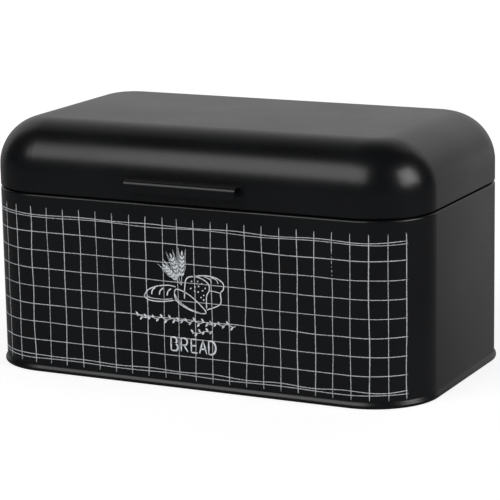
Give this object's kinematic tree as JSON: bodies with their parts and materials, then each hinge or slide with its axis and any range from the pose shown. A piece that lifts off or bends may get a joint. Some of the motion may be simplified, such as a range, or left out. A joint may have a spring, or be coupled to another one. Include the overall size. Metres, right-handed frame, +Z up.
{
  "type": "bread bin",
  "caption": "Small sheet-steel bread bin with rounded corners, a pillow-shaped lid hinged at the back, a lip handle and a printed grid round the front.",
  "frame": {"origin": "middle of the plan, on the surface that the bin stands on", "axes": "+Z up, -Y towards the front with the handle, +X to the right seen from the front"},
  "size_m": [0.3328, 0.208, 0.1768],
  "materials": {
    "body_coat": "satin black powder coat",
    "lid_coat": "satin black powder coat",
    "print_ink": "matt off-white screen-print ink",
    "hinge_steel": "satin black coated steel",
    "pin_steel": "plain drawn wire",
    "rivet_aluminium": "pulled blind rivet, plain",
    "silicone": "matt silicone"
  },
  "bodies": {
    "body": {"body_wall": "body_coat", "base_pan": "body_coat", "hinge_left_body_leaf": "hinge_steel", "hinge_left_pin": "pin_steel", "hinge_left_body_plate": "hinge_steel", "hinge_left_body_rivets": "rivet_aluminium", "hinge_right_body_leaf": "hinge_steel", "hinge_right_pin": "pin_steel", "hinge_right_body_plate": "hinge_steel", "hinge_right_body_rivets": "rivet_aluminium"},
    "lid": {"lid_shell": "lid_coat", "handle_lip": "lid_coat", "lid_buffer_left": "silicone", "lid_buffer_right": "silicone", "hinge_left_lid_leaf": "hinge_steel", "hinge_left_lid_plate": "hinge_steel", "hinge_left_lid_rivets": "rivet_aluminium", "hinge_right_lid_leaf": "hinge_steel", "hinge_right_lid_plate": "hinge_steel", "hinge_right_lid_rivets": "rivet_aluminium"}
  },
  "joints": [
    {"name": "lid_hinge", "type": "hinge", "parent": "body", "child": "lid", "pos_m": [0, 0.09855, 0.1282], "axis": [-1, 0, 0], "range_deg": [0, 100]}
  ]
}
